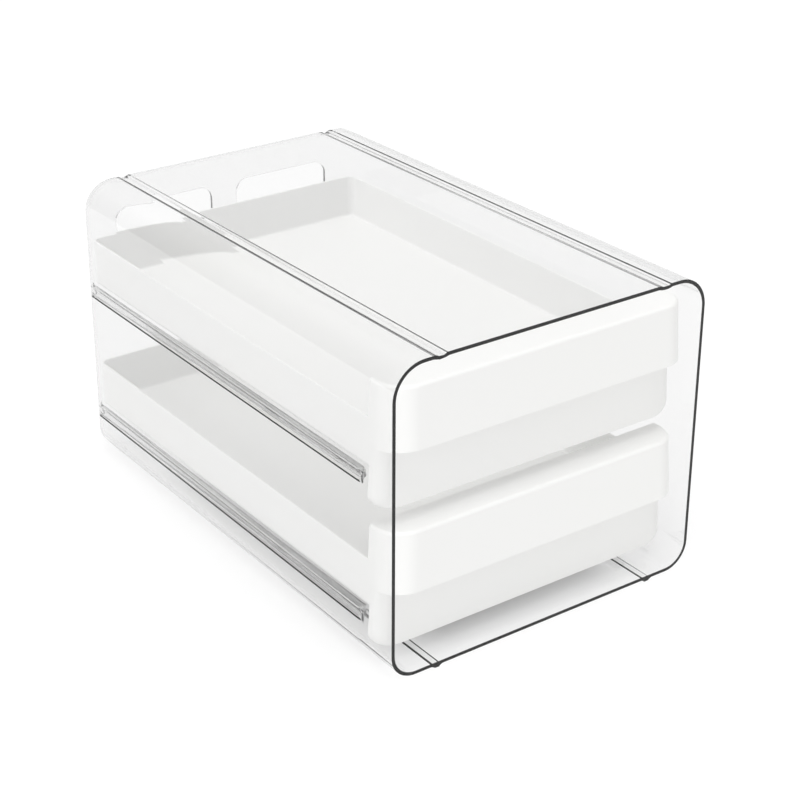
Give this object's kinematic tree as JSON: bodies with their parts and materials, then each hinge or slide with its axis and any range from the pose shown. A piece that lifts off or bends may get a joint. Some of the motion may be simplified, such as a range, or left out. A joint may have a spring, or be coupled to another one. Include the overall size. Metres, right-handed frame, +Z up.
{
  "type": "egg holder tray",
  "caption": "Clear open-fronted egg box with stacked white egg drawers that slide out on rails moulded into its side walls.",
  "frame": {"origin": "on the resting plane, midway between the sides and midway between the open front rim and the rear wall", "axes": "+X to the right seen from the open front, -Y out of the open front, +Z up"},
  "size_m": [0.2026, 0.32, 0.178],
  "materials": {
    "clear_plastic": "clear, polished",
    "white_plastic": "satin"
  },
  "bodies": {
    "housing": {"housing": "clear_plastic"},
    "lower_drawer": {"lower_drawer": "white_plastic"},
    "upper_drawer": {"upper_drawer": "white_plastic"}
  },
  "joints": [
    {"name": "lower_drawer_slide", "type": "slide", "parent": "housing", "child": "lower_drawer", "axis": [0, -1, 0], "range_m": [0, 0.245]},
    {"name": "upper_drawer_slide", "type": "slide", "parent": "housing", "child": "upper_drawer", "axis": [0, -1, 0], "range_m": [0, 0.245]}
  ]
}
